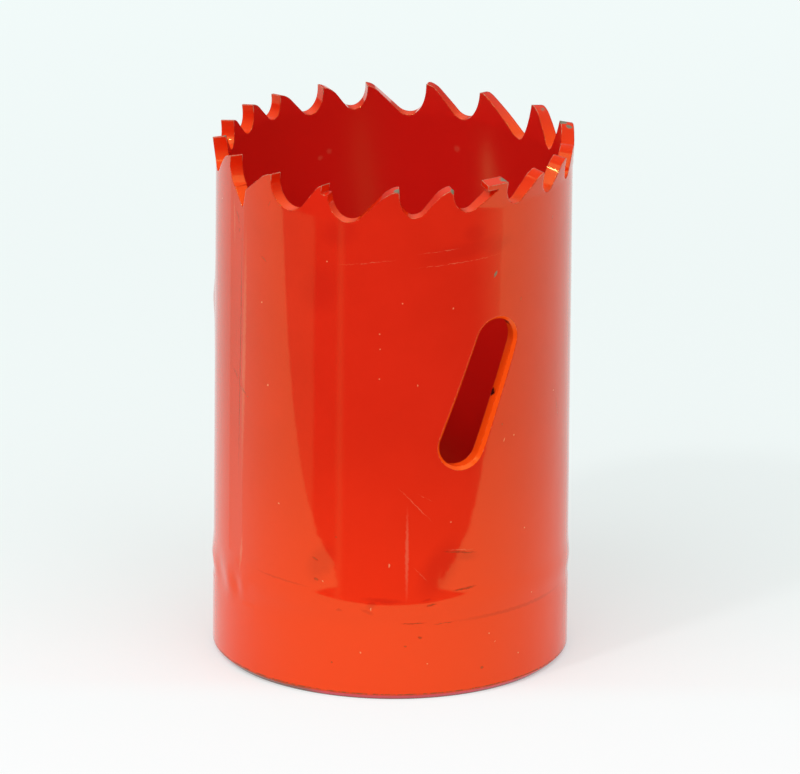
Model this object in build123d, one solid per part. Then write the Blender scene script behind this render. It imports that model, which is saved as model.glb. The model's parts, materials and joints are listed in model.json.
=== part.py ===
from build123d import *
import math
import os

# Hole saw, 32 mm cutting diameter: a bi-metal strip with a variable pitch, set
# tooth line, rolled to a tube and butt welded, on a thick threaded back plate.
#
# Millimetres and degrees. The origin is the centre of the closed end, +Z runs
# along the axis towards the teeth. Angles round the axis start at -Y and grow
# towards +X, the way the teeth travel.

# ---- Rolled wall ----
WALL_OD = 31.68        # outside diameter of the plain wall
WALL_T = 1.2           # thickness of the strip
HEIGHT = 47.5          # closed end to the tooth tips, at mid wall

# ---- Back plate ----
PLATE_T = 6.5          # thickness of the disc
PLATE_EDGE = 0.6       # chamfer on the disc's inner rim
THREAD_MAJOR_D = 15.875   # 5/8 inch - 18 UNF arbor thread
THREAD_PITCH = 1.4111
THREAD_DEPTH_RATIO = 0.53
THREAD_CHAMFER = 0.15  # countersink beyond the thread's major radius
PIN_COUNT = 2          # holes for the arbor's drive pins
PIN_CHAMFER = 0.25
PIN_LAND = 0.175       # plate left between a pin hole's chamfer and the next edge

# ---- Closed end: the wall swells where the plate is pressed in ----
BAND_SWELL = 0.03      # radial growth of the band round the plate
CREASE_RISE = 0.4      # crease above the plate's inner face
CREASE_IN = 0.06       # how far the crease is drawn back in
BULGE_RISE = 1.9       # crest of the bulge above the crease
BULGE_OUT = 0.12       # crest beyond the plain wall
BULGE_FADE = 1.7       # crest to the start of the plain wall
FOOT_CHAMFER = 0.45    # closed end's outer corner
WELD_WIDTH = 0.6       # ring weld on the plate's edge
WELD_SINK = 0.15       # dressed just below flush
WALL_PREP = 0.3        # chamfer on the wall's inner corner, half filled by the weld

# ---- Tooth line ----
# Each tooth leads the next by its own pitch, which keeps the saw from chattering.
FIRST_TIP = -88.0      # angle of the first tooth's tip
PITCHES = [21.4, 22.8, 21.2, 24.0, 17.6, 18.8, 16.3, 15.2, 13.8, 22.0,
           21.1, 23.3, 19.5, 20.4, 16.2, 17.7, 14.3, 16.9]
# Depth of the gullet after each tooth.
DEPTHS = [2.55, 2.6, 2.7, 2.95, 2.4, 2.2, 2.25, 2.3, 2.3, 2.3,
          2.75, 3.3, 2.75, 2.8, 2.15, 2.2, 1.8, 2.05, 2.2]
# Set of each tip: how far it is bent out of the wall, outward positive.
SETS = [0.3, 0.0, -0.1, -0.42, 0.3, 0.1, 0.45, 0.5, 0.42, 0.2,
        0.55, 0.5, 0.4, 0.3, 0.0, 0.05, 0.2, 0.28, 0.18]
# Tips that stand lower or higher than the rest: tooth index and drop.
TIP_DROPS = {1: -0.12, 2: -0.08, 3: -0.1, 4: -0.2, 8: -0.1, 10: -0.15, 12: 0.22,
             14: 0.05, 15: -0.12, 16: -0.1, 17: -0.1}
TIP_LAND = 0.14        # worn flat at each tip
BEND_RISE = 0.02       # bend line above the shallower gullet beside a tooth
BEND_EASE = 0.25       # the bend's easing facet, along each side
RAKE_STRAIGHT = 0.35   # straight part of the cutting face below the tip
RELIEF_ANGLE = 12.0    # back of the tooth at its tip
ROOT_PLACE = 0.30      # gullet's lowest point, as a share of that pitch
OTHER_ROOTS = {2: 0.4, 3: 0.32, 10: 0.25, 11: 0.18}   # gullets ground off centre
GULLET_RADIUS = 0.25   # back of the gullet, as a share of that pitch
CREST_RADIUS = 0.50    # rounded back of a tooth, as a share of that pitch
OTHER_CRESTS = {1: 0.42, 2: 0.3, 3: 0.41, 11: 0.33, 12: 0.36, 13: 0.3}   # crests worn off, or fuller backs

# Tips hammered over: tooth index, degrees behind and ahead of the tip, drop, rise.
BURRS = [(6, 7.2, 0.3, 0.3, 0.2)]
# Tips with a corner broken off outside: tooth index, degrees behind the tip, drop.
CHIPS = [(3, 2.1, 0.85)]

# ---- Seam: the strip's ends meet in one gullet, with a notch over the weld ----
SEAM_ANGLE = -57.4
NOTCH_DROP = 3.85      # notch bottom below the tips
NOTCH_BOTTOM = 0.14
NOTCH_LEFT = (1.3, 1.4)    # run and rise of its long side
NOTCH_RIGHT = (0.35, 1.5)  # run and rise of its short side
NOTCH_TOP = 2.2        # reaches into the open gullet
SEAM_FLAT_ANGLE = -61.0   # dressed flat beside the weld
SEAM_FLAT_W = 2.4

# ---- Side slots ----
SLOT_W = 3.9
SLOT_L = 13.85
SLOT_SLANT = 20.5      # top leans towards the next tooth
SLOT_Z = 28.2          # height of the middle
SLOT_ANGLES = [29.4, -108.5]   # one each side of the seam
SLOT_LIP = 0.3         # rolled outer edge left by the punch

# ---- Derived sizes ----
WALL_R = WALL_OD / 2
MID_R = WALL_R - WALL_T / 2
INNER_R = WALL_R - WALL_T
BAND_R = WALL_R + BAND_SWELL
PLATE_R = BAND_R - WALL_T
CREASE_Z = PLATE_T + CREASE_RISE
CREST_Z = CREASE_Z + BULGE_RISE
PLAIN_Z = CREST_Z + BULGE_FADE
THREAD_MAJOR_R = THREAD_MAJOR_D / 2
THREAD_MINOR_R = THREAD_MAJOR_R - THREAD_DEPTH_RATIO * THREAD_PITCH
SINK_R = THREAD_MAJOR_R + THREAD_CHAMFER
RIM_R = PLATE_R - PLATE_EDGE
# The pin holes fill the ring between the thread's countersink and the rim.
PIN_CIRCLE_R = (SINK_R + RIM_R) / 2
PIN_HOLE_R = (RIM_R - SINK_R) / 2 - PIN_CHAMFER - PIN_LAND
TEETH = len(SETS)
OVERCUT = 2.0          # how far a cutter runs past what it cuts
NEAR = 0.01            # two lengths closer than this are the same


def tip_angles():
    """Angles of all tips, with the first repeated one turn on."""
    angles = [FIRST_TIP]
    for pitch in PITCHES:
        angles.append(angles[-1] + pitch)
    angles.append(FIRST_TIP + 360)
    return angles


TIPS = tip_angles()


def radial_plane(angle):
    """Upright plane through the axis: x outward, y up."""
    a = math.radians(angle)
    out = (math.sin(a), -math.cos(a), 0)
    side = (-math.cos(a), -math.sin(a), 0)
    return Plane(origin=(0, 0, 0), x_dir=out, z_dir=side)


def facing_plane(angle, radius):
    """Plane square to a radius: x towards growing angles, y up."""
    a = math.radians(angle)
    out = (math.sin(a), -math.cos(a), 0)
    along = (math.cos(a), math.sin(a), 0)
    origin = (radius * out[0], radius * out[1], 0)
    return Plane(origin=origin, x_dir=along, z_dir=out)


# ---- Wall ----
def swell_points(shift):
    """Outline of the swollen band's top, moved in by shift."""
    return [
        (BAND_R - shift, CREASE_Z - CREASE_RISE),
        (BAND_R - CREASE_IN - shift, CREASE_Z),
        (WALL_R + BULGE_OUT - shift, CREST_Z),
        (WALL_R - shift, PLAIN_Z),
    ]


def wall_tube(top):
    """Wall from the closed end up to a height, without teeth or slots."""
    outline = Polyline(
        (PLATE_R, WALL_PREP),
        (PLATE_R + WALL_PREP, 0),
        (BAND_R - FOOT_CHAMFER, 0),
        (BAND_R, FOOT_CHAMFER),
        *swell_points(0),
        (WALL_R, top),
        (INNER_R, top),
        *reversed(swell_points(WALL_T)),
        close=True,
    )
    section = make_face((radial_plane(0) * outline).edges())
    return revolve(section, Axis.Z, 360)


# ---- Teeth ----
def root_place(i):
    return OTHER_ROOTS.get(i % TEETH, ROOT_PLACE)


def gullet_angle(i):
    """Angle of the lowest point of the gullet after tooth i."""
    k = i % TEETH
    turn = 360 * ((i - k) // TEETH)
    return TIPS[k] + root_place(k) * (TIPS[k + 1] - TIPS[k]) + turn


def tip_z(i):
    """Height of tooth i at mid wall."""
    return HEIGHT - TIP_DROPS.get(i % TEETH, 0)


def bend_height(i):
    """Height of the line that tooth i is bent on."""
    deepest = max(HEIGHT - DEPTHS[i - 1], HEIGHT - DEPTHS[i % TEETH])
    return deepest + BEND_RISE


def lean(i):
    """Lean of tooth i out of the wall, in radians."""
    k = i % TEETH
    return math.atan2(SETS[k], tip_z(k) - bend_height(k))


def tip_height(i, radius):
    """Height of tooth i's tip at a radius: the land is square to the tooth."""
    k = i % TEETH
    return tip_z(k) - (radius - MID_R - SETS[k]) * math.tan(lean(k))


def leaning_face(i, low, high):
    """Two points across tooth i's thickness at its tip, moved along the tooth."""
    tilt = lean(i)
    tip_r = MID_R + SETS[i]
    return [
        (
            tip_r + side * WALL_T / 2 * math.cos(tilt) + shift * math.sin(tilt),
            tip_z(i) - side * WALL_T / 2 * math.sin(tilt) + shift * math.cos(tilt),
        )
        for side, shift in ((1, low), (1, high), (-1, high), (-1, low))
    ]


def tooth_blank(i, bottom):
    """Sector of wall that holds tooth i, bent at its bend line."""
    bend = bend_height(i)
    start = gullet_angle(i - 1)
    sweep = gullet_angle(i) - start
    out_tip, in_tip = leaning_face(i, 0, 0)[1:3]
    with BuildSketch(radial_plane(start)) as section:
        with BuildLine():
            Polyline(
                (INNER_R, bottom),
                (WALL_R, bottom),
                (WALL_R, bend),
                out_tip,
                in_tip,
                (INNER_R, bend),
                close=True,
            )
        make_face()
        if SETS[i] != 0:
            kinks = section.vertices().sort_by(Axis.Y)[2:4]
            chamfer(kinks, BEND_EASE)
    return revolve(section.sketch, Axis.Z, sweep)


def tip_burr(i, behind, ahead, drop, rise):
    """Metal that hammering has spread round tooth i's tip."""
    corners = leaning_face(i, -drop, rise)
    plane = radial_plane(TIPS[i] - behind)
    section = make_face((plane * Polyline(*corners, close=True)).edges())
    return revolve(section, Axis.Z, behind + ahead)


def tip_chip(i, behind, drop):
    """Corner that has broken off the outside of tooth i's cutting face."""
    floor = Plane.XY.offset(tip_z(i) - drop)
    start = radial_plane(TIPS[i] - behind).x_dir * WALL_R
    end = radial_plane(TIPS[i] + behind).x_dir * WALL_R
    inside = radial_plane(TIPS[i]).x_dir * (INNER_R - WALL_T)
    corners = [(p.X, p.Y) for p in (start, end, inside)]
    outline = make_face((floor * Polyline(*corners, close=True)).edges())
    return extrude(outline, drop + OVERCUT)


def gap_wire(i, radius):
    """Outline of the gap after tooth i, drawn square to a radius."""
    first = TIPS[i]
    last = TIPS[i + 1]
    half_angle = math.radians(last - first) / 2
    pitch = 2 * half_angle * MID_R
    stretch = radius / MID_R * math.tan(half_angle) / half_angle
    left = TIP_LAND / 2
    right = pitch - TIP_LAND / 2
    tip_l = tip_height(i, radius)
    tip_r = tip_height(i + 1, radius)
    floor = HEIGHT - DEPTHS[i]
    root = root_place(i) * pitch
    gullet_r = GULLET_RADIUS * pitch
    crest_r = OTHER_CRESTS.get(i, CREST_RADIUS) * pitch
    relief = math.radians(RELIEF_ANGLE)
    # Straight back of the next tooth: tangent to the gullet and to the crest.
    crest_x = right + crest_r * math.sin(relief)
    crest_z = tip_r - crest_r * math.cos(relief)
    run = crest_x - root
    rise = crest_z - floor - gullet_r
    reach = math.hypot(run, rise)
    slope = math.atan2(rise, run) + math.asin((gullet_r + crest_r) / reach)

    def place(x, z):
        return ((x - pitch / 2) * stretch, z)

    def arc_point(cx, cz, r, angle):
        return place(cx + r * math.cos(angle), cz + r * math.sin(angle))

    face_end = tip_l - RAKE_STRAIGHT
    top = HEIGHT + OVERCUT
    tight = 0.5523     # a quarter ellipse as a cubic
    p_top = place(left, top)
    p_face = place(left, face_end)
    p_root = place(root, floor)
    handle_a = place(left, face_end - tight * (face_end - floor))
    handle_b = place(root - tight * (root - left), floor)
    g_z = floor + gullet_r
    g_mid = arc_point(root, g_z, gullet_r, slope / 2 - math.pi / 2)
    g_end = arc_point(root, g_z, gullet_r, slope - math.pi / 2)
    c_start = arc_point(crest_x, crest_z, crest_r, slope + math.pi / 2)
    c_mid = arc_point(crest_x, crest_z, crest_r, (slope + relief) / 2 + math.pi / 2)
    c_end = arc_point(crest_x, crest_z, crest_r, relief + math.pi / 2)
    p_last = place(right, top)
    edges = [
        Line(p_top, p_face),
        Bezier(p_face, handle_a, handle_b, p_root),
        ThreePointArc(p_root, g_mid, g_end),
        Line(g_end, c_start),
        ThreePointArc(c_start, c_mid, c_end),
        Line(c_end, p_last),
        Line(p_last, p_top),
    ]
    middle = (first + last) / 2
    return make_face((facing_plane(middle, radius) * (Curve() + edges)).edges())


def gap_cutter(i):
    inner = gap_wire(i, INNER_R - OVERCUT)
    outer = gap_wire(i, WALL_R + OVERCUT)
    return loft([inner, outer], ruled=True)


def notch_cutter():
    """Notch over the weld, left where the two ends of the strip meet."""
    floor = HEIGHT - NOTCH_DROP
    half = NOTCH_BOTTOM / 2
    left = -half - NOTCH_LEFT[0]
    right = half + NOTCH_RIGHT[0]
    plane = facing_plane(SEAM_ANGLE, INNER_R - OVERCUT)
    with BuildSketch(plane) as notch:
        with BuildLine():
            Polyline(
                (-half, floor),
                (half, floor),
                (right, floor + NOTCH_RIGHT[1]),
                (right, floor + NOTCH_TOP),
                (left, floor + NOTCH_TOP),
                (left, floor + NOTCH_LEFT[1]),
                close=True,
            )
        make_face()
    return extrude(notch.sketch, WALL_T + 2 * OVERCUT)


def seam_flat_cutter():
    """Sliver dressed off the wall beside the weld."""
    chord = SEAM_FLAT_W / 2
    depth = WALL_R - math.sqrt(WALL_R**2 - chord**2)
    plane = facing_plane(SEAM_FLAT_ANGLE, WALL_R - depth)
    middle = (PLAIN_Z + HEIGHT) / 2
    block = Rectangle(SEAM_FLAT_W * 2, HEIGHT - PLAIN_Z)
    return extrude(plane * Pos(0, middle) * block, OVERCUT)


def slot_cutter(angle):
    plane = facing_plane(angle, INNER_R - OVERCUT)
    outline = plane * Pos(0, SLOT_Z) * Rot(0, 0, 90 - SLOT_SLANT) * SlotOverall(SLOT_L, SLOT_W)
    return extrude(outline, WALL_T + 2 * OVERCUT)


def slot_lips(wall, angle):
    """Outer edges of the slot at an angle."""
    middle = facing_plane(angle, WALL_R).origin + Vector(0, 0, SLOT_Z)
    reach = SLOT_L / 2 + SLOT_LIP
    lips = []
    for edge in wall.edges():
        points = [edge @ share for share in (0, 0.5, 1)]
        outside = all(abs(math.hypot(p.X, p.Y) - WALL_R) < NEAR for p in points)
        around = all((p - middle).length < reach for p in points)
        if outside and around:
            lips.append(edge)
    return lips


def saw_wall():
    bottom = HEIGHT - NOTCH_DROP - BEND_RISE
    wall = wall_tube(bottom)
    gaps = [gap_cutter(i) for i in range(TEETH)]
    for i in range(TEETH):
        wall += tooth_blank(i, bottom) - gaps[i - 1] - gaps[i]
    for burr in BURRS:
        wall += tip_burr(*burr)
    for chip in CHIPS:
        wall -= tip_chip(*chip)
    wall -= notch_cutter()
    wall -= seam_flat_cutter()
    for angle in SLOT_ANGLES:
        wall -= slot_cutter(angle)
        wall = wall.chamfer(SLOT_LIP, None, slot_lips(wall, angle))
    return wall


# ---- Back plate ----
def plate_blank():
    """Disc with its countersunk bore and the ring weld round its edge."""
    sink = SINK_R - THREAD_MINOR_R
    outline = Polyline(
        (THREAD_MINOR_R, sink),
        (SINK_R, 0),
        (PLATE_R - WELD_WIDTH, 0),
        (PLATE_R - WELD_WIDTH + WELD_SINK, WELD_SINK),
        (PLATE_R + WALL_PREP - WELD_SINK, WELD_SINK),
        (PLATE_R, WALL_PREP),
        (PLATE_R, PLATE_T - PLATE_EDGE),
        (RIM_R, PLATE_T),
        (SINK_R, PLATE_T),
        (THREAD_MINOR_R, PLATE_T - sink),
        close=True,
    )
    section = make_face((radial_plane(0) * outline).edges())
    return revolve(section, Axis.Z, 360)


def pin_hole_cutter():
    """Drive pin hole with a chamfer at each face of the plate."""
    mouth_r = PIN_HOLE_R + PIN_CHAMFER
    outline = Polyline(
        (0, 0),
        (mouth_r, 0),
        (PIN_HOLE_R, PIN_CHAMFER),
        (PIN_HOLE_R, PLATE_T - PIN_CHAMFER),
        (mouth_r, PLATE_T),
        (0, PLATE_T),
        close=True,
    )
    return revolve(make_face((Plane.XZ * outline).edges()), Axis.Z, 360)


def back_plate():
    plate = plate_blank()
    for spot in PolarLocations(PIN_CIRCLE_R, PIN_COUNT):
        plate -= spot * pin_hole_cutter()
    return plate


if __name__ == "__main__":
    os.makedirs("parts", exist_ok=True)
    export_step(saw_wall(), "parts/saw_wall.step")
    export_step(back_plate(), "parts/back_plate.step")
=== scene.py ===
import json
import math

import bmesh
import bpy
from mathutils import Euler, Matrix, Vector


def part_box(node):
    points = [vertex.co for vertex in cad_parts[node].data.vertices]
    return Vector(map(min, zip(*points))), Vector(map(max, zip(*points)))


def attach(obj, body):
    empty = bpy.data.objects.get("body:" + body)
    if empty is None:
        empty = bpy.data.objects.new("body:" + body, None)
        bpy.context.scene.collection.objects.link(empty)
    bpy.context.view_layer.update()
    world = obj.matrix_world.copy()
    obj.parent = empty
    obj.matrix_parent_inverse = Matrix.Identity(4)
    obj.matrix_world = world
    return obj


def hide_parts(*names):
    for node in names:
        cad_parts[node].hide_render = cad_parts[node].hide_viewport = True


# Hole saw, dressed: red-orange enamel over the toothed wall and its back plate.
# Metres. Angles round the axis start at -Y and grow towards +X.

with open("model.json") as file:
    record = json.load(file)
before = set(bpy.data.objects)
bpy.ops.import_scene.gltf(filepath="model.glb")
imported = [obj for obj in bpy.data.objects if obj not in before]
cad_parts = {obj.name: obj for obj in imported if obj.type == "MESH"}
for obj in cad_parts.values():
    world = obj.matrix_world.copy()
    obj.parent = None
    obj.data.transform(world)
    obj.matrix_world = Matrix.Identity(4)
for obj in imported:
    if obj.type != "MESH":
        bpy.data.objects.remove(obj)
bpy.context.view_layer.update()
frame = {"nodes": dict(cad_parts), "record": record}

MM = 0.001
MOUNTS = {mount["name"]: mount for mount in frame["record"]["mounts"]}

# ---- Sizes, from the frame and its record ----
FLOOR_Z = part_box("saw_wall")[0].z
PLATE_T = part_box("back_plate")[1].z - FLOOR_Z
WALL_R = 15.84 * MM      # plain wall between the band and the teeth
WALL_T = 1.2 * MM
BORE_R = MOUNTS["arbor_thread"]["dims"]["r_mm"] * MM
THREAD_PITCH = 1.4111 * MM
THREAD_R = 7.9375 * MM   # root of the thread in the plate
FLAT_ANGLE = math.radians(-61.0)   # dressed flat beside the weld seam
FLAT_W = 2.4 * MM
FLAT_BOTTOM = 10.9 * MM

# ---- Camera ----
CAMERA_LOW = math.radians(19.20)      # how far it looks down
CAMERA_ROLL = math.radians(0.5324)
CAMERA_AWAY = 1.5
CAMERA_AIM = Vector((0, 0, 0.022))
PICTURE_W, PICTURE_H = 800, 774
AIM_X, AIM_Y = 392.06, 407.8          # where the aim falls in the picture
PX_PER_METRE = 11213.5                # at the aim
SENSOR = 36


def make_camera():
    lens = bpy.data.cameras.new("camera")
    lens.sensor_width = SENSOR
    lens.lens = PX_PER_METRE * CAMERA_AWAY * SENSOR / PICTURE_W
    lens.shift_x = (PICTURE_W / 2 - AIM_X) / PICTURE_W
    lens.shift_y = (AIM_Y - PICTURE_H / 2) / PICTURE_W
    lens.clip_start = 0.01
    lens.clip_end = 10
    camera = bpy.data.objects.new("camera", lens)
    back = Vector((0, -math.cos(CAMERA_LOW), math.sin(CAMERA_LOW)))
    place = Matrix.Translation(CAMERA_AIM + back * CAMERA_AWAY)
    tilt = Euler((math.pi / 2 - CAMERA_LOW, 0, 0)).to_matrix().to_4x4()
    camera.matrix_world = place @ tilt @ Matrix.Rotation(CAMERA_ROLL, 4, "Z")
    bpy.context.scene.collection.objects.link(camera)
    bpy.context.scene.camera = camera


# ---- Shader wiring ----
class Wiring:
    """Short calls for the nodes of one material or of the world."""

    def __init__(self, owner):
        owner.use_nodes = True
        self.tree = owner.node_tree
        self.tree.nodes.clear()

    def node(self, kind, settings=None, **inputs):
        made = self.tree.nodes.new("ShaderNode" + kind)
        for name, value in (settings or {}).items():
            setattr(made, name, value)
        for name, value in inputs.items():
            self.feed(made.inputs[name.replace("_", " ")], value)
        return made

    def feed(self, socket, value):
        if isinstance(value, bpy.types.Node):
            value = value.outputs[0]
        if isinstance(value, bpy.types.NodeSocket):
            self.tree.links.new(value, socket)
        else:
            socket.default_value = value

    def calc(self, operation, a, b=0.0, c=0.0):
        made = self.tree.nodes.new("ShaderNodeMath")
        made.operation = operation
        for socket, value in zip(made.inputs, (a, b, c)):
            self.feed(socket, value)
        return made.outputs[0]

    def vector(self, operation, a, b=(0, 0, 0)):
        made = self.tree.nodes.new("ShaderNodeVectorMath")
        made.operation = operation
        self.feed(made.inputs[0], a)
        self.feed(made.inputs[1], b)
        gives_number = operation in ("LENGTH", "DOT_PRODUCT")
        return made.outputs["Value" if gives_number else "Vector"]

    def ramp(self, value, low, high, at_low=0.0, at_high=1.0):
        """Smooth step of a value from at_low to at_high."""
        made = self.node("MapRange", {"interpolation_type": "SMOOTHSTEP"}, Value=value)
        ends = {"From Min": low, "From Max": high, "To Min": at_low, "To Max": at_high}
        for name, number in ends.items():
            self.feed(made.inputs[name], number)
        return made.outputs["Result"]

    def mix(self, share, a, b):
        made = self.tree.nodes.new("ShaderNodeMix")
        made.data_type = "RGBA"
        for name, value in (("Factor", share), ("A", a), ("B", b)):
            socket = [s for s in made.inputs if s.name == name and s.enabled][0]
            self.feed(socket, value)
        return [s for s in made.outputs if s.enabled][0]

    def noise(self, where, scale, detail=2.0, roughness=0.5):
        made = self.node("TexNoise", Vector=where, Scale=scale, Detail=detail, Roughness=roughness)
        return made.outputs["Fac"]

    def most(self, shares):
        total = shares[0]
        for share in shares[1:]:
            total = self.calc("MAXIMUM", total, share)
        return total


def colour(red, green, blue):
    return (red, green, blue, 1.0)


# ---- Finishes ----
ENAMEL = colour(0.78, 0.0130, 0.0045)
ENAMEL_DEEP = colour(0.74, 0.0105, 0.0035)
ENAMEL_BOUNCE_LIT = colour(0.97, 0.026, 0.0050)    # brighter towards the back plate: painted light of the floor's bounce
CUT_ENAMEL_TIP_SHADE = colour(0.80, 0.020, 0.003)     # cut edges near the tips, darker red: painted shade
GULLET_LIT_ENAMEL = colour(1.0, 0.080, 0.004)   # the same lower down, in the gullets and slots, brighter and more orange: painted light
INNER_ENAMEL = colour(0.74, 0.012, 0.008)
BARE_STEEL = colour(0.20, 0.19, 0.13)
PALE = colour(0.92, 0.36, 0.20)
DARK = colour(0.40, 0.003, 0.003)
NEAR_BLACK = colour(0.035, 0.004, 0.004)
WORN_EDGE = colour(0.60, 0.40, 0.26)
REDDER_AND_REFLECTION_RED = colour(0.62, 0.004, 0.003)        # deeper red: painted dark reflections of the room and painted shade along the crease
FOOT_FLOOR_REFLECTION = colour(0.70, 0.012, 0.075)    # bluish red of the foot's chamfer: painted reflection of the floor
FOOT_SHADED = colour(0.30, 0.012, 0.012)    # the same darker, on the left: painted shadow in the chamfer
FOOT_LINE = colour(0.16, 0.035, 0.025)      # broken brown line above it
FOOT_CONTACT_SHADOW = colour(0.06, 0.002, 0.003)   # painted contact shadow where it meets the table
BORE_DARK = colour(0.30, 0.28, 0.25)        # oily steel of the thread
BORE_LIGHT = colour(0.46, 0.44, 0.41)
GLOSS_IOR = 1.62
GLOSS_TINT = (1.0, 1.0, 0.28, 1.0)
BUMP_DEPTH = 0.2 * MM

# Patterns, in cells a metre.
RAGGED_SCALE = 2600.0       # ragged outlines of marks and wear
MOTTLE_SCALE = 170.0        # thicker and thinner patches of the coat
PEEL_FINE_SCALE = 700.0     # orange peel
PEEL_BROAD_SCALE = 230.0
SPECK_FINE_SCALE = 330.0
SPECK_BROAD_SCALE = 200.0
SCUFF_SCALE = 420.0         # on the plate, with its specks, worn patches, oil and grain
PLATE_SPECK_SCALE = 300.0
PATCH_SCALE = 260.0
OIL_SCALE = 900.0
GRAIN_SCALE = 500.0
WELD_RIPPLES = 7.0          # radians a mm of arc
WELD_RING = (13.7, 14.9)    # mm from the axis
WANDER = 0.28               # mm that the outline of a mark wanders
EDGE_WEAR = 0.13 * MM       # width of the worn edges

# Heights in mm between which one look gives way to the next.
# the coat brightens downwards between these: painted light of the floor's bounce
BOUNCE_LIGHT_HEIGHTS = (3, 30)
# cut faces go from painted light below to painted shade above between these
CUT_LIGHT_HEIGHTS = (43.5, 46.8)
TIP_WEAR = (46.9, 47.25)
RIM_WEAR = (46.8, 47.1)     # of the edges below the tips
# the foot's chamfer, with its painted reflection, ends between these
FOOT_TOP = (0.42, 0.56)
FOOT_LINE_HEIGHTS = (0.52, 0.62)
# the painted contact shadow fades out between these
CONTACT_SHADOW_TOP = (0.01, 0.12)
FACE_WEAR = (0.02, 0.10)    # on the plate's own face

FOOT_SHADE_ANGLES = (-62, -26)   # the foot's chamfer is painted in shadow between these, in degrees

# How much of a mark's colour shows.
REDDER_PATCH_SHARE = 0.4
RUN_AND_HIGHLIGHT_SHARE = 0.22
PALE_SHARE = 0.62
SPECK_SHARE = 0.8
INNER_SPOT_SHARE = 0.13

# Marks on the enamel: angle round the wall in degrees, height in mm,
# half length and half width in mm, tilt in degrees.
# Scratches; the one at 22.8 degrees, 13.85 mm, is a painted highlight on the upper edge of a dark
# line.
SCRATCHES_AND_A_HIGHLIGHT = (
    (7.7, 18.4, 1.9, 0.035, -47), (11.0, 19.0, 0.7, 0.03, -30), (9.8, 11.8, 0.8, 0.035, -47),
    (22, 40.7, 3.6, 0.025, 3), (22.8, 13.85, 1.1, 0.05, -6), (15, 41.9, 1.6, 0.025, 4),
    (-8, 40.9, 2.2, 0.03, 8),
)
CHIPS = (
    (-0.5, 12.7, 0.17, 0.06, 90), (-9.3, 4.4, 0.10, 0.07, 90), (33.7, 5.5, 0.08, 0.08, 0),
    (52.1, 8.2, 0.08, 0.07, 0), (-22.2, 10.8, 0.09, 0.07, -40), (38.9, 23.4, 0.16, 0.06, 65),
    (43.0, 23.6, 0.07, 0.06, 0), (64.5, 26.2, 0.07, 0.06, 0), (-6.2, 8.6, 0.05, 0.14, 0),
    (-21.6, 40.7, 0.08, 0.06, 0), (36, 4.6, 0.12, 0.05, 30), (46, 2.9, 0.08, 0.08, 0),
    (-4, 33, 0.07, 0.06, 0), (8, 29.5, 0.06, 0.08, 0), (3, 37.2, 0.07, 0.07, 0),
    (19.5, 36.5, 0.06, 0.09, 0), (-39, 17.2, 0.06, 0.06, 0), (-47, 35.5, 0.07, 0.07, 0),
    (-44, 28.0, 0.06, 0.08, 0), (12, 3.4, 0.06, 0.06, 0),
)
# Dark specks and lines. The long thin ones from 7 to 25 degrees at 7 to 10 mm are painted shade
# along the crease and the crest of the band, and the one at 22.8 degrees, 13.6 mm, is painted
# shade under the pale line above it.
DARK_MARKS_AND_CREASE_SHADE = (
    (-60.3, 42.5, 0.55, 0.09, -68), (-59.2, 41.3, 0.14, 0.09, 90), (-57.7, 40.6, 0.13, 0.07, 80),
    (-61.0, 27.8, 0.5, 0.07, -43), (-56.6, 26.6, 0.5, 0.06, -31), (-53.9, 26.2, 0.10, 0.08, 0),
    (-17.8, 15.1, 0.10, 0.06, 0), (-25.0, 12.8, 0.28, 0.07, -25), (-24.6, 10.9, 0.20, 0.12, -30),
    (9.7, 5.9, 0.2, 0.09, -20), (4.9, 5.1, 0.13, 0.07, 0), (31.2, 2.4, 0.12, 0.10, 0),
    (-18.8, 3.3, 0.10, 0.06, 0),
    (7.5, 7.25, 0.95, 0.06, 2), (17.6, 7.1, 0.8, 0.035, 3), (24.6, 10.15, 0.95, 0.09, 5),
    (22.8, 13.62, 1.3, 0.075, -8), (13.2, 8.95, 0.4, 0.09, 12),
    (45.5, 36.2, 0.16, 0.05, 60), (-46.2, 39.6, 0.3, 0.05, -25), (62.5, 42.6, 0.2, 0.05, 60),
    (38.0, 24.9, 0.09, 0.06, 90),
    (67.5, 24.3, 0.9, 0.035, -75), (-44, 44.9, 0.25, 0.04, 70), (-58.3, 30.0, 9.6, 0.06, 89),
)
# Redder patches. The ones at the front between 8 and 10 mm are painted dark reflections of the
# room, and the long one at 46 degrees, 7.2 mm, is painted shade along the crease above the band.
REDDER_PATCHES_AND_REFLECTIONS = (
    (46.0, 7.2, 5.6, 0.16, 0), (-38, 10.2, 2.4, 0.08, -3), (-16.5, 8.3, 0.25, 0.12, 0),
    (-2.2, 9.4, 1.5, 0.22, -3), (-7.3, 8.3, 0.5, 0.15, -20), (-6.0, 9.0, 0.45, 0.3, 40),
    (11.7, 9.4, 0.5, 0.12, 10), (23, 13.3, 1.4, 0.5, -8), (16, 12.2, 2.6, 1.3, 60),
    (24, 41.8, 3.4, 0.7, 8), (27, 43.2, 1.0, 0.8, 0), (-17.5, 43.5, 1.5, 1.1, 20),
    (-24, 38, 2.0, 1.5, 70), (36, 41.8, 1.2, 0.6, 20), (-23, 12.5, 1.6, 1.0, 60),
)
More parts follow.
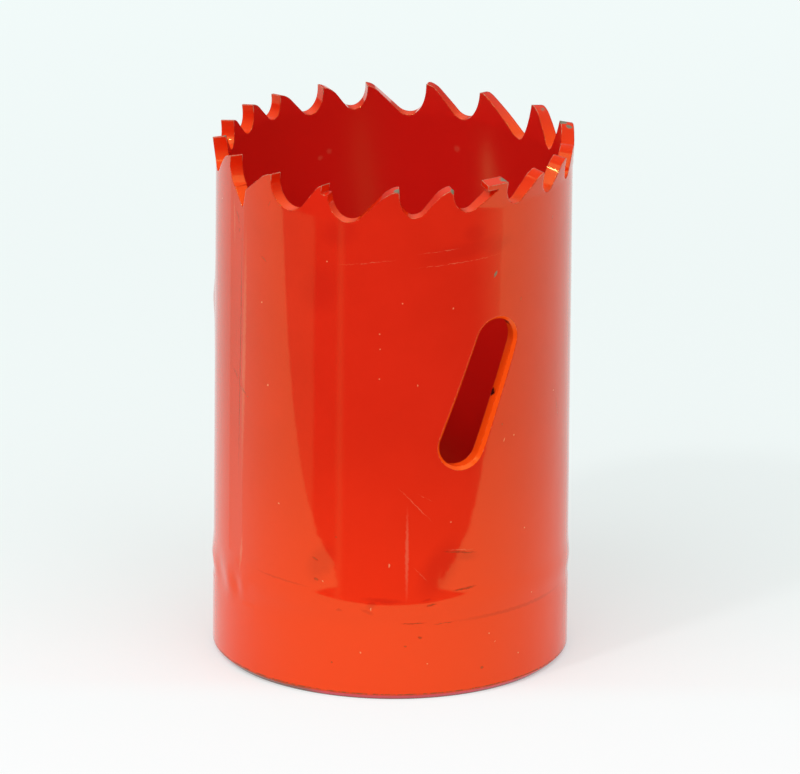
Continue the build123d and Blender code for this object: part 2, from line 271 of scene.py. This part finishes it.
# Pale streaks. The ones along the weld seam and the edges of the flat beside it, from -56 to -63
# degrees, are painted highlights.
RUNS_AND_SEAM_HIGHLIGHTS = (
    (5.2, 13.7, 3.2, 0.13, 90), (-56.1, 30.5, 8.6, 0.22, 89), (-62.6, 41.9, 1.6, 0.08, 92),
    (-57.2, 11.2, 1.4, 0.16, 84),
)
METAL_CHIPS = ((34.8, 39.1, 0.30, 0.12, 60),)
INNER_SPOTS = (
    (203.5, 41.6, 0.25, 0.22, 0), (157.5, 41.9, 0.3, 0.26, 0), (207, 41.1, 0.25, 0.2, 0),
)
# Marks on tips and inner edges: angle in degrees, then in mm the height, half arc,
# half height, distance from the axis and its half width.
TIP_CHIPS = (
    (38.8, 47.5, 0.80, 0.35, 15.7, 0.50), (19.3, 47.4, 0.26, 0.25, 15.8, 0.35),
    (1.4, 47.6, 0.42, 0.25, 15.8, 0.4), (122.8, 47.7, 0.5, 0.5, 15.9, 0.5),
    (104.0, 47.75, 1.6, 0.12, 15.2, 1.5), (102.3, 47.5, 0.25, 0.22, 15.9, 0.3),
    (-89.0, 47.6, 0.6, 0.2, 14.8, 0.5), (69.6, 47.4, 0.3, 0.12, 15.8, 0.25),
)
TIP_SCRAPES = ((-23.3, 47.1, 0.14, 0.75, 15.85, 0.30), (-22.6, 47.65, 0.95, 0.14, 15.4, 0.80))
# Near-black patches on the slot's cut faces.
SLOT_DARK_PATCHES = (
    (41.3, 33.0, 0.34, 1.3, 14.9, 0.62), (36.5, 27.9, 0.22, 0.5, 14.8, 0.4),
    (42.6, 34.6, 0.6, 0.7, 15.1, 0.6), (39.3, 30.6, 0.12, 0.9, 14.75, 0.2),
)


def polar_place(w):
    """Place on the wall in mm: arc round it from -Y, distance from the axis, height."""
    where = w.node("TexCoord").outputs["Object"]
    parts = w.node("SeparateXYZ", Vector=where)
    angle = w.calc("ARCTAN2", parts.outputs["X"], w.calc("MULTIPLY", parts.outputs["Y"], -1))
    reach = w.vector("LENGTH", w.vector("MULTIPLY", where, (1, 1, 0)))
    arc = w.calc("MULTIPLY", angle, WALL_R / MM)
    height = w.calc("DIVIDE", parts.outputs["Z"], MM)
    distance = w.calc("DIVIDE", reach, MM)
    return where, arc, height, distance


def arc_of(degrees):
    """Arc in mm at an angle, between -180 and 180 degrees."""
    turned = (degrees + 180) % 360 - 180
    return math.radians(turned) * WALL_R / MM


# Share of the last mark's value in the next one's place. It is too small to see, and
# makes the renderer work the marks out one after another, so that it holds few at once.
TURN_TAKING = 1e-6
ANY_DISTANCE = 1 / TURN_TAKING   # reach of a mark that shows at every distance from the axis


def mark_share(w, place, before, spot, tilt, reach, soft):
    """1 inside an ellipse on the developed wall, or an ellipsoid in it, and 0 outside."""
    arc, height, distance = place
    depth = w.calc("MULTIPLY_ADD", before, TURN_TAKING, distance)
    in_turn = w.node("CombineXYZ", X=arc, Y=height, Z=depth)
    local = w.node("Mapping", {"vector_type": "TEXTURE"}, Vector=in_turn)
    local.inputs["Location"].default_value = spot
    local.inputs["Rotation"].default_value = (0, 0, math.radians(tilt))
    local.inputs["Scale"].default_value = reach
    return w.ramp(w.vector("LENGTH", local), 1.0 - soft, 1.0 + soft, 1.0, 0.0)


def marks(w, place, group, soft=0.45):
    """Flat marks, whatever the distance from the axis."""
    total = 0.0
    for angle, height, along, across, tilt in group:
        spot = (arc_of(angle), height, 0)
        reach = (along, across, ANY_DISTANCE)
        share = mark_share(w, place, total, spot, tilt, reach, soft)
        total = w.calc("MAXIMUM", total, share)
    return total


def lumps(w, place, group, soft=0.2):
    """Marks that also have a place and a depth along the radius."""
    total = 0.0
    for angle, height, half_arc, half_height, distance, half_distance in group:
        spot = (arc_of(angle), height, distance)
        reach = (half_arc, half_height, half_distance)
        share = mark_share(w, place, total, spot, 0, reach, soft)
        total = w.calc("MAXIMUM", total, share)
    return total


def both(w, a, b):
    return w.calc("MULTIPLY", a, b)


def band(w, value, low, high, soft):
    """1 between two values and 0 outside them."""
    risen = w.ramp(value, low - soft, low + soft)
    fallen = w.ramp(value, high - soft, high + soft, 1.0, 0.0)
    return both(w, risen, fallen)


def dust(w, where, scale, size, share):
    """Fine specks, one in some of the cells of a pattern."""
    cells = w.node("TexVoronoi", Vector=where, Scale=scale)
    near = w.ramp(cells.outputs["Distance"], size * 0.5, size, 1.0, 0.0)
    pick = w.node("SeparateColor", Color=cells.outputs["Color"]).outputs[0]
    return both(w, near, w.ramp(pick, 1 - share, 1 - share + 0.02))


def wall_sides(w):
    """The side attribute, and shares for the outside, the inside and the cut edges."""
    side = w.node("Attribute", {"attribute_name": "side"}).outputs["Fac"]
    outer = w.ramp(side, 0.5, 0.6)
    inner = w.ramp(side, -0.6, -0.5, 1.0, 0.0)
    cut = w.ramp(w.calc("ABSOLUTE", side), 0.4, 0.5, 1.0, 0.0)
    return side, outer, inner, cut


def wall_coat(w, mottle, height, inner, cut):
    """Colour of the clean coat, with painted light: brighter low on the wall and in the gullets,
    darker red near the tips.
    """
    base = w.mix(w.ramp(mottle, 0.3, 0.7), ENAMEL, ENAMEL_DEEP)
    # Brighter low on the wall: painted light of the floor's bounce.
    base = w.mix(w.ramp(height, *BOUNCE_LIGHT_HEIGHTS, 1.0, 0.0), base, ENAMEL_BOUNCE_LIT)
    base = w.mix(inner, base, INNER_ENAMEL)
    # Cut faces lighter and more orange low down, darker red near the tips: painted light and
    # shade.
    lower = w.ramp(height, *CUT_LIGHT_HEIGHTS, 1.0, 0.0)
    return w.mix(cut, base, w.mix(lower, CUT_ENAMEL_TIP_SHADE, GULLET_LIT_ENAMEL))


def scattered_specks(w, where, outer):
    specks = both(w, outer, dust(w, where, SPECK_FINE_SCALE, 0.032, 0.45))
    elsewhere = w.vector("ADD", where, (0.1, 0, 0))
    broad = both(w, outer, dust(w, elsewhere, SPECK_BROAD_SCALE, 0.035, 0.3))
    return w.calc("MAXIMUM", specks, broad)


def foot_colours(w, base, arc, height, outer):
    """The foot's chamfer with its painted floor reflection and painted shadow, the broken line
    above it and a painted contact shadow where it meets the table.
    """
    along = w.node("CombineXYZ", X=arc, Y=0.0)
    foot_noise = w.noise(along, 0.9, 3.0, 0.65)
    below = w.ramp(height, *FOOT_TOP, 1.0, 0.0)
    first, last = FOOT_SHADE_ANGLES
    shaded = band(w, arc, arc_of(first), arc_of(last), 1.5)
    base = w.mix(below, base, w.mix(shaded, FOOT_FLOOR_REFLECTION, FOOT_SHADED))
    broken = w.ramp(foot_noise, 0.42, 0.56, 0.25, 0.9)
    line = both(w, band(w, height, *FOOT_LINE_HEIGHTS, 0.05), broken)
    base = w.mix(both(w, line, outer), base, FOOT_LINE)
    contact = w.ramp(height, *CONTACT_SHADOW_TOP, 1.0, 0.0)
    return w.mix(contact, base, FOOT_CONTACT_SHADOW)


def gloss(shader):
    shader.inputs["IOR"].default_value = GLOSS_IOR
    shader.inputs["Specular Tint"].default_value = GLOSS_TINT


def enamel(name):
    """Gloss enamel over steel, with its scratches, chips and worn edges."""
    material = bpy.data.materials.new(name)
    w = Wiring(material)
    where, arc, height, distance = polar_place(w)
    ragged = w.node("TexNoise", Vector=where, Scale=RAGGED_SCALE, Detail=3.0)
    shift = w.node("SeparateColor", Color=ragged.outputs["Color"])
    wandering = [w.calc("MULTIPLY_ADD", part, WANDER, w.calc("ADD", value, -WANDER / 2))
                 for part, value in zip(shift.outputs, (arc, height, distance))]
    grain = ragged.outputs["Fac"]
    side, outer, inner, cut = wall_sides(w)
    mottle = w.noise(where, MOTTLE_SCALE, 3.0)
    base = wall_coat(w, mottle, height, inner, cut)

    peel = w.calc("MULTIPLY", w.noise(where, PEEL_FINE_SCALE, 2.0), 0.5)
    peel = w.calc("ADD", peel, w.noise(where, PEEL_BROAD_SCALE, 1.0))
    soft = w.node("Bevel", {"samples": 6}, Radius=EDGE_WEAR)
    smooth = w.node("NewGeometry").outputs["Normal"]
    edge = w.ramp(w.vector("DOT_PRODUCT", soft, smooth), 0.90, 0.985, 1.0, 0.0)
    specks = scattered_specks(w, where, outer)
    roughness = w.calc("MULTIPLY_ADD", mottle, 0.04, 0.035)

    # Redder patches: painted dark reflections and painted shade along the crease.
    red = both(w, outer, marks(w, wandering, REDDER_PATCHES_AND_REFLECTIONS, 0.6))
    base = w.mix(both(w, red, REDDER_PATCH_SHARE), base, REDDER_AND_REFLECTION_RED)
    # Pale streaks, with painted highlights by the weld seam.
    runs_and_highlights = both(w, outer, marks(w, wandering, RUNS_AND_SEAM_HIGHLIGHTS, 0.6))
    base = w.mix(both(w, runs_and_highlights, RUN_AND_HIGHLIGHT_SHARE), base, PALE)
    fine = both(w, marks(w, wandering, SCRATCHES_AND_A_HIGHLIGHT), w.ramp(grain, 0.35, 0.6, 0.05, 0.4))
    pale = w.most([fine, marks(w, wandering, CHIPS), both(w, specks, SPECK_SHARE)])
    base = w.mix(both(w, outer, both(w, pale, PALE_SHARE)), base, PALE)
    # Dark marks, with painted shade along the crease, the crest of the band and a groove.
    dark = both(w, outer, marks(w, wandering, DARK_MARKS_AND_CREASE_SHADE))
    base = w.mix(both(w, dark, w.ramp(grain, 0.25, 0.5, 0.3, 0.85)), base, DARK)
    spots = both(w, inner, marks(w, wandering, INNER_SPOTS, 0.6))
    base = w.mix(both(w, spots, INNER_SPOT_SHARE), base, PALE)
    chips = lumps(w, wandering, TIP_CHIPS)
    steel = w.calc("MAXIMUM", chips, both(w, outer, marks(w, wandering, METAL_CHIPS)))
    off_outer = w.ramp(side, 0.5, 0.6, 1.0, 0.0)
    slot_dark = both(w, lumps(w, wandering, SLOT_DARK_PATCHES), off_outer)

    tips = both(w, edge, w.ramp(height, *TIP_WEAR))
    tips = w.calc("MAXIMUM", tips, lumps(w, wandering, TIP_SCRAPES))
    base = w.mix(both(w, tips, w.ramp(grain, 0.35, 0.55, 0.25, 0.85)), base, WORN_EDGE)
    rims = both(w, edge, w.ramp(height, *RIM_WEAR, 1.0, 0.0))
    base = w.mix(both(w, rims, w.ramp(grain, 0.50, 0.58, 0.0, 0.55)), base, DARK)
    base = w.mix(both(w, rims, w.ramp(grain, 0.36, 0.42, 0.5, 0.0)), base, PALE)
    marred = both(w, w.most([dark, pale, steel]), 0.35)
    roughness = w.calc("MAXIMUM", roughness, marred)
    roughness = w.calc("MAXIMUM", roughness, both(w, inner, 0.2))
    base = w.mix(slot_dark, base, NEAR_BLACK)
    base = foot_colours(w, base, arc, height, outer)
    base = w.mix(steel, base, BARE_STEEL)

    peeled = w.node("Bump", Strength=0.05, Distance=BUMP_DEPTH, Height=peel, Normal=soft)
    shader = w.node("BsdfPrincipled", Base_Color=base, Roughness=roughness, Normal=peeled)
    gloss(shader)
    w.feed(shader.inputs["Specular IOR Level"], w.ramp(cut, 0.0, 1.0, 0.5, 0.3))
    w.node("OutputMaterial", Surface=shader)
    return material


def plate_enamel(name):
    """The same enamel on the back plate, with the weld's ripples and a bare threaded bore."""
    material = bpy.data.materials.new(name)
    w = Wiring(material)
    where, arc, height, distance = polar_place(w)
    mottle = w.noise(where, MOTTLE_SCALE, 3.0)
    base = w.mix(w.ramp(mottle, 0.3, 0.7), ENAMEL, ENAMEL_DEEP)
    drawn_out = w.vector("MULTIPLY", where, (1, 5, 1))
    scuffs = w.ramp(w.noise(drawn_out, SCUFF_SCALE, 5.0, 0.7), 0.62, 0.72)
    base = w.mix(both(w, scuffs, 0.5), base, PALE)
    base = w.mix(dust(w, where, PLATE_SPECK_SCALE, 0.04, 0.5), base, PALE)
    low = w.ramp(height, *FACE_WEAR, 1.0, 0.0)
    patchy = w.ramp(w.noise(where, PATCH_SCALE, 4.0, 0.6), 0.52, 0.62, 0.1, 0.8)
    base = w.mix(both(w, low, patchy), base, DARK)
    root = THREAD_R / MM
    bore = w.ramp(distance, root + 0.05, root + 0.2, 1.0, 0.0)
    oily = w.noise(where, OIL_SCALE, 3.0)
    base = w.mix(bore, base, w.mix(oily, BORE_DARK, BORE_LIGHT))
    ripple = w.calc("SINE", w.calc("MULTIPLY", arc, WELD_RIPPLES))
    bead = band(w, distance, *WELD_RING, 0.15)
    rippled = both(w, both(w, ripple, bead), 0.5)
    relief = w.calc("ADD", rippled, w.noise(where, GRAIN_SCALE, 2.0))
    bump = w.node("Bump", Strength=0.15, Distance=BUMP_DEPTH, Height=relief)
    roughness = w.ramp(bore, 0.0, 1.0, 0.12, 0.38)
    shader = w.node("BsdfPrincipled", Base_Color=base, Roughness=roughness, Metallic=bore,
                    Normal=bump)
    gloss(shader)
    w.node("OutputMaterial", Surface=shader)
    return material


# ---- Wall ----
CREASE = math.radians(35)     # faces that meet under this angle shade as one
OUTER, CUT, INNER = 1.0, 0.0, -1.0

# Dents and bumps: angle in degrees, then in mm the height, half width, half height
# and outward move.
DENTS = (
    (-95.0, 32.0, 1.5, 1.9, 0.21),     # lip thrown up beside the rear slot
    (-85.0, 8.6, 1.0, 1.0, 0.05), (-73.5, 8.2, 1.3, 1.5, -0.13),
    (-65.0, 8.0, 0.8, 1.4, 0.08),
    (-59.5, 7.9, 0.6, 1.0, -0.09), (-55.5, 8.6, 0.5, 1.0, 0.03),
)
# Patches of the wall that are cut fine enough to hold them: angles in degrees, heights in mm.
DENT_PATCHES = ((-101, -88.5, 27.5, 36.5), (-98, -50, 4.8, 12.5))
PATCH_STEP = 0.32 * MM
DENT_END = 0.001 * MM         # a dent shallower than this counts as none
CLOSE = 1e-6                  # metres within which points are one
VERY_CLOSE = 1e-7             # the same where the true points lie closer
OUT_SHARE = 0.8               # a face this square to the radius is a round one


def radial(point):
    return Vector((point.x, point.y, 0)).normalized()


def tangent(point):
    outward = radial(point)
    return Vector((-outward.y, outward.x, 0))


def angle_of(point):
    return math.atan2(point.x, -point.y)


def face_class(face, centre):
    out = face.normal.dot(radial(centre))
    if out > OUT_SHARE:
        return OUTER
    if out < -OUT_SHARE:
        return INNER
    return CUT


def pushed_out(point):
    """How far the wall stands out at a point, and its slopes round and up the wall."""
    move = around = up = 0.0
    for angle, height, half_width, half_height, depth in DENTS:
        a = (angle_of(point) - math.radians(angle)) * WALL_R / (half_width * MM)
        b = (point.z - height * MM) / (half_height * MM)
        here = depth * MM * math.exp(-a * a - b * b)
        move += here
        around -= 2 * a * here / (half_width * MM)
        up -= 2 * b * here / (half_height * MM)
    return move, around, up


def merged_mesh(node):
    bm = bmesh.new()
    bm.from_mesh(frame["nodes"][node].data)
    bmesh.ops.remove_doubles(bm, verts=bm.verts, dist=CLOSE)
    bmesh.ops.dissolve_degenerate(bm, edges=bm.edges, dist=VERY_CLOSE)
    return bm


def cut_faces(bm, faces, point, normal):
    geometry = set(faces)
    for face in faces:
        geometry.update(face.edges)
        geometry.update(face.verts)
    bmesh.ops.bisect_plane(
        bm, geom=list(geometry), dist=CLOSE, plane_co=point, plane_no=normal)


def cut_at_height(bm, faces, height):
    cut_faces(bm, faces, Vector((0, 0, height)), Vector((0, 0, 1)))


def cut_at_angle(bm, faces, angle):
    cut_faces(bm, faces, Vector((0, 0, 0)), Vector((math.cos(angle), math.sin(angle), 0)))


def outer_faces(bm, side_angle):
    """Outside faces within a right angle of a direction, so that a radial cut meets them once."""
    way = Vector((math.sin(side_angle), -math.cos(side_angle), 0))
    chosen = []
    for face in bm.faces:
        centre = face.calc_center_median()
        if centre.dot(way) > 0 and face_class(face, centre) == OUTER:
            chosen.append(face)
    return chosen


def refine_patch(bm, patch):
    """Cuts the outside of the wall into small cells over one patch."""
    first, last = (math.radians(value) for value in patch[:2])
    bottom, top = (value * MM for value in patch[2:])
    middle = (first + last) / 2

    def inside():
        chosen = []
        for face in outer_faces(bm, middle):
            centre = face.calc_center_median()
            if first < angle_of(centre) < last and bottom < centre.z < top:
                chosen.append(face)
        return chosen

    for height in (bottom, top):
        cut_at_height(bm, outer_faces(bm, middle), height)
    for angle in (first, last):
        cut_at_angle(bm, outer_faces(bm, middle), angle)
    rows = round((top - bottom) / PATCH_STEP)
    columns = round((last - first) * WALL_R / PATCH_STEP)
    for row in range(1, rows):
        cut_at_height(bm, inside(), bottom + (top - bottom) * row / rows)
    for column in range(1, columns):
        cut_at_angle(bm, inside(), first + (last - first) * column / columns)


def push_dents(bm):
    for vertex in bm.verts:
        if vertex.co.xy.length > WALL_R - WALL_T / 4:
            vertex.co += radial(vertex.co) * pushed_out(vertex.co)[0]


def finished(bm, name, material):
    bmesh.ops.triangulate(bm, faces=[face for face in bm.faces if len(face.verts) > 4])
    mesh = bpy.data.meshes.new(name)
    bm.to_mesh(mesh)
    bm.free()
    mesh.materials.append(material)
    piece = bpy.data.objects.new(name, mesh)
    bpy.context.scene.collection.objects.link(piece)
    return piece


def note_sides(mesh):
    """Says for each face whether it is the outside, the inside or a cut edge."""
    sides = mesh.attributes.new("side", "FLOAT", "FACE")
    for face in mesh.polygons:
        sides.data[face.index].value = face_class(face, face.center)


def on_flat(face):
    off = abs(angle_of(face.center) - FLAT_ANGLE) * WALL_R
    return off < FLAT_W / 2 and face.center.z > FLAT_BOTTOM


def wall_normal(point, side, rise, flat):
    """Normal of a rolled tube at a point, with its dents and the flat beside the weld."""
    level = math.sqrt(max(0.0, 1 - rise**2))
    if flat:
        return Vector((math.sin(FLAT_ANGLE), -math.cos(FLAT_ANGLE), 0))
    normal = radial(point) * side * level + Vector((0, 0, rise))
    if side == OUTER:
        slopes = pushed_out(point)
        normal -= tangent(point) * slopes[1] + Vector((0, 0, slopes[2]))
    return normal


def shade_as_turned(mesh):
    """Round faces get the exact normals of a tube, and the rest are smoothed up to a crease."""
    faces = mesh.polygons
    sides = [face_class(face, face.center) for face in faces]
    around = {}
    for face in faces:
        for vertex in face.vertices:
            around.setdefault(vertex, []).append(face.index)
    limit = math.cos(CREASE)
    normals = []
    for face in faces:
        side = sides[face.index]
        flat = side == OUTER and on_flat(face)
        for vertex in face.vertices:
            total = Vector()
            for other in around[vertex]:
                if sides[other] == side and faces[other].normal.dot(face.normal) > limit:
                    total += faces[other].normal * math.sqrt(faces[other].area)
            total = total.normalized() if total.length > 0 else face.normal.copy()
            if side != CUT:
                point = mesh.vertices[vertex].co
                total = wall_normal(point, side, turned_rise(point, total), flat)
            normals.append(total.normalized())
    mesh.shade_smooth()
    mesh.normals_split_custom_set(normals)


def turned_rise(point, smooth):
    """Vertical part of a round face's normal, which dents leave to their own slopes."""
    if abs(pushed_out(point)[0]) > DENT_END:
        return 0.0
    return smooth.z


def make_wall():
    bm = merged_mesh("saw_wall")
    for patch in DENT_PATCHES:
        refine_patch(bm, patch)
    push_dents(bm)
    piece = finished(bm, "toothed_wall", enamel("red_enamel"))
    note_sides(piece.data)
    shade_as_turned(piece.data)
    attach(piece, "root")
    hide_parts("saw_wall")


# ---- Back plate ----
THREAD_STEPS = 40           # round one turn
THREAD_FLANK = math.radians(30)
THREAD_FLAT = 0.05 * MM     # half width of the flat at the thread's root
INTO_BORE = 0.12 * MM       # how far the cutter starts inside the bore


def thread_cutter():
    """A V ridge wound up the bore, one pitch longer than the plate at each end."""
    bm = bmesh.new()
    inside = BORE_R - INTO_BORE
    half = THREAD_FLAT + (THREAD_R - inside) * math.tan(THREAD_FLANK)
    start = FLOOR_Z - 1.5 * THREAD_PITCH
    corners = (
        (inside, -half), (THREAD_R, -THREAD_FLAT), (THREAD_R, THREAD_FLAT), (inside, half))
    profile = bm.faces.new([bm.verts.new((x, 0, start + z)) for x, z in corners])
    turns = math.ceil(PLATE_T / THREAD_PITCH) + 3
    steps = turns * THREAD_STEPS
    rise = Vector((0, 0, THREAD_PITCH / THREAD_STEPS))
    geometry = [profile, *profile.edges, *profile.verts]
    bmesh.ops.spin(
        bm, geom=geometry, cent=(0, 0, 0), axis=(0, 0, 1), dvec=rise,
        angle=math.tau * turns, steps=steps)
    bmesh.ops.remove_doubles(bm, verts=bm.verts, dist=VERY_CLOSE)
    bmesh.ops.recalc_face_normals(bm, faces=bm.faces)
    mesh = bpy.data.meshes.new("thread_cutter")
    bm.to_mesh(mesh)
    bm.free()
    return bpy.data.objects.new("thread_cutter", mesh)


def threaded(piece):
    """Cuts the thread and leaves only the finished mesh."""
    cutter = thread_cutter()
    bpy.context.scene.collection.objects.link(cutter)
    cut = piece.modifiers.new("thread", "BOOLEAN")
    cut.object = cutter
    cut.operation = "DIFFERENCE"
    cut.solver = "EXACT"
    evaluated = piece.evaluated_get(bpy.context.evaluated_depsgraph_get())
    mesh = bpy.data.meshes.new_from_object(evaluated)
    piece.modifiers.clear()
    piece.data = mesh
    bpy.data.objects.remove(cutter)


def make_plate():
    enamelled = plate_enamel("plate_enamel")
    piece = finished(merged_mesh("back_plate"), "threaded_plate", enamelled)
    threaded(piece)
    shade_plate(piece.data)
    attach(piece, "root")
    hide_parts("back_plate")


def shade_plate(mesh):
    mesh.shade_smooth()
    bm = bmesh.new()
    bm.from_mesh(mesh)
    for edge in bm.edges:
        edge.smooth = edge.is_manifold and edge.calc_face_angle() < CREASE
    bm.to_mesh(mesh)
    bm.free()


# ---- Studio ----
SHEET_FRONT = -43 * MM     # front edge of the sheet that reflections see
FAR = 3.0
FLOOR_COOL = colour(0.905, 0.98, 0.97)
FLOOR_PLAIN = colour(0.965, 0.98, 0.98)
COOL_FROM, COOL_TO = -35 * MM, 30 * MM   # the floor cools between these, front to back
# Share of the floor's look that the camera sees unlit: beside the saw, far off and in front.
UNLIT_NEAR, UNLIT_FAR, UNLIT_FRONT = 0.42, 0.9, 0.8
NEAR_END, FAR_START = 50 * MM, 220 * MM
FRONT_START, FRONT_END = -17 * MM, -4 * MM

LAMP_AWAY = 0.6
# Lamps: name, azimuth and elevation in degrees, size in metres, power in watts.
LAMPS = (
    ("flash", -42, 48, 0.045, 0.42),
    ("left_softbox", -36, 56, 0.4, 0.86),
    ("right_softbox", 38, 56, 0.4, 0.60),
)

# What the gloss shows of the room, by azimuth and elevation in degrees.
ROOM_DARK = 0.17            # below the horizon, in front of the sheet
ROOM_RIGHT = (50, 90)       # grows bright between these
ROOM_LEFT = (-54, -50.5)    # falls to dark between these
ROOM_BEYOND = (-78, -75)    # far left, bright
ROOM_BRIGHT, ROOM_LEFT_LIGHT = 0.95, 0.43
STREAK_RISE, STREAK_FALL, STREAK_LIGHT = (-38, -34), (-34, -30), 0.22
HORIZON = (-14, -9)
OVERHEAD = (8, 42)          # the light overhead grows between these
OVERHEAD_LOW, OVERHEAD_HIGH = 0.16, 0.70


def sheet(name, x_low, x_high, y_low, y_high, height):
    bm = bmesh.new()
    bmesh.ops.create_grid(bm, x_segments=1, y_segments=1, size=1.0)
    half = ((x_high - x_low) / 2, (y_high - y_low) / 2, 1)
    middle = ((x_high + x_low) / 2, (y_high + y_low) / 2, height)
    bmesh.ops.scale(bm, vec=half, verts=bm.verts)
    bmesh.ops.translate(bm, vec=middle, verts=bm.verts)
    mesh = bpy.data.meshes.new(name)
    bm.to_mesh(mesh)
    bm.free()
    made = bpy.data.objects.new(name, mesh)
    bpy.context.scene.collection.objects.link(made)
    return made


def paper(name):
    """White paper, a little cool towards the back."""
    material = bpy.data.materials.new(name)
    w = Wiring(material)
    place = w.node("SeparateXYZ", Vector=w.node("TexCoord").outputs["Object"])
    tint = w.mix(w.ramp(place.outputs["Y"], COOL_FROM, COOL_TO), FLOOR_PLAIN, FLOOR_COOL)
    lit = w.node("BsdfDiffuse", Color=tint)
    glow = w.node("Emission", Color=tint, Strength=1.0)
    path = w.node("LightPath").outputs
    away = w.vector("LENGTH", w.node("TexCoord").outputs["Object"])
    share = w.ramp(away, NEAR_END, FAR_START, UNLIT_NEAR, UNLIT_FAR)
    in_front = w.ramp(place.outputs["Y"], FRONT_START, FRONT_END, UNLIT_FRONT, 0.0)
    share = w.calc("MAXIMUM", share, in_front)
    seen = both(w, w.calc("MAXIMUM", path["Is Camera Ray"], path["Is Glossy Ray"]), share)
    shader = w.node("MixShader", Fac=seen)
    w.feed(shader.inputs[1], lit)
    w.feed(shader.inputs[2], glow)
    w.node("OutputMaterial", Surface=shader)
    return material


def make_floor():
    white = paper("white_paper")
    back = sheet("floor_back", -FAR, FAR, SHEET_FRONT, FAR, FLOOR_Z)
    front = sheet("floor_front", -FAR, FAR, -FAR, SHEET_FRONT, FLOOR_Z)
    front.visible_glossy = False
    for part in (back, front):
        part.data.materials.append(white)


def soft_light(name, azimuth, elevation, size, power):
    lamp = bpy.data.lights.new(name, "AREA")
    lamp.shape = "SQUARE"
    lamp.size = size
    lamp.energy = power
    light = bpy.data.objects.new(name, lamp)
    a = math.radians(azimuth)
    e = math.radians(elevation)
    level = math.cos(e)
    way = Vector((math.sin(a) * level, -math.cos(a) * level, math.sin(e)))
    light.location = way * LAMP_AWAY
    light.rotation_euler = (-light.location).to_track_quat("-Z", "Y").to_euler()
    bpy.context.scene.collection.objects.link(light)


def sines(elevations):
    return [math.sin(math.radians(elevation)) for elevation in elevations]


def make_room():
    """Plain light from above, and the darker room beyond the sheet that the gloss shows."""
    world = bpy.data.worlds.new("room")
    bpy.context.scene.world = world
    w = Wiring(world)
    way = w.node("SeparateXYZ", Vector=w.node("TexCoord").outputs["Generated"])
    turn = w.calc("ARCTAN2", way.outputs["X"], w.calc("MULTIPLY", way.outputs["Y"], -1))
    turn = w.calc("DEGREES", turn)
    right = w.ramp(turn, *ROOM_RIGHT, ROOM_DARK, ROOM_BRIGHT)
    left = w.ramp(turn, *ROOM_LEFT, ROOM_LEFT_LIGHT, ROOM_DARK)
    beyond = w.ramp(turn, *ROOM_BEYOND, ROOM_BRIGHT, 0.0)
    streak = w.ramp(turn, *STREAK_RISE, 0.0, STREAK_LIGHT)
    streak = both(w, streak, w.ramp(turn, *STREAK_FALL, 1.0, 0.0))
    low = w.calc("MAXIMUM", w.calc("MAXIMUM", right, left), beyond)
    low = w.calc("ADD", low, streak)
    room = w.ramp(way.outputs["Z"], *sines(HORIZON))
    above = w.ramp(way.outputs["Z"], *sines(OVERHEAD), OVERHEAD_LOW, OVERHEAD_HIGH)
    light = w.calc("ADD", both(w, room, above), both(w, w.calc("SUBTRACT", 1.0, room), low))
    seen = w.node("LightPath").outputs["Is Camera Ray"]
    grey = w.node("CombineColor", Red=light, Green=light, Blue=light)
    shade = w.mix(seen, grey, FLOOR_COOL)
    w.node("OutputWorld", Surface=w.node("Background", Color=shade, Strength=1.0))


def make_studio():
    make_floor()
    make_room()
    for lamp in LAMPS:
        soft_light(*lamp)


bpy.context.scene.view_settings.view_transform = "Standard"
make_camera()
make_wall()
make_plate()
make_studio()
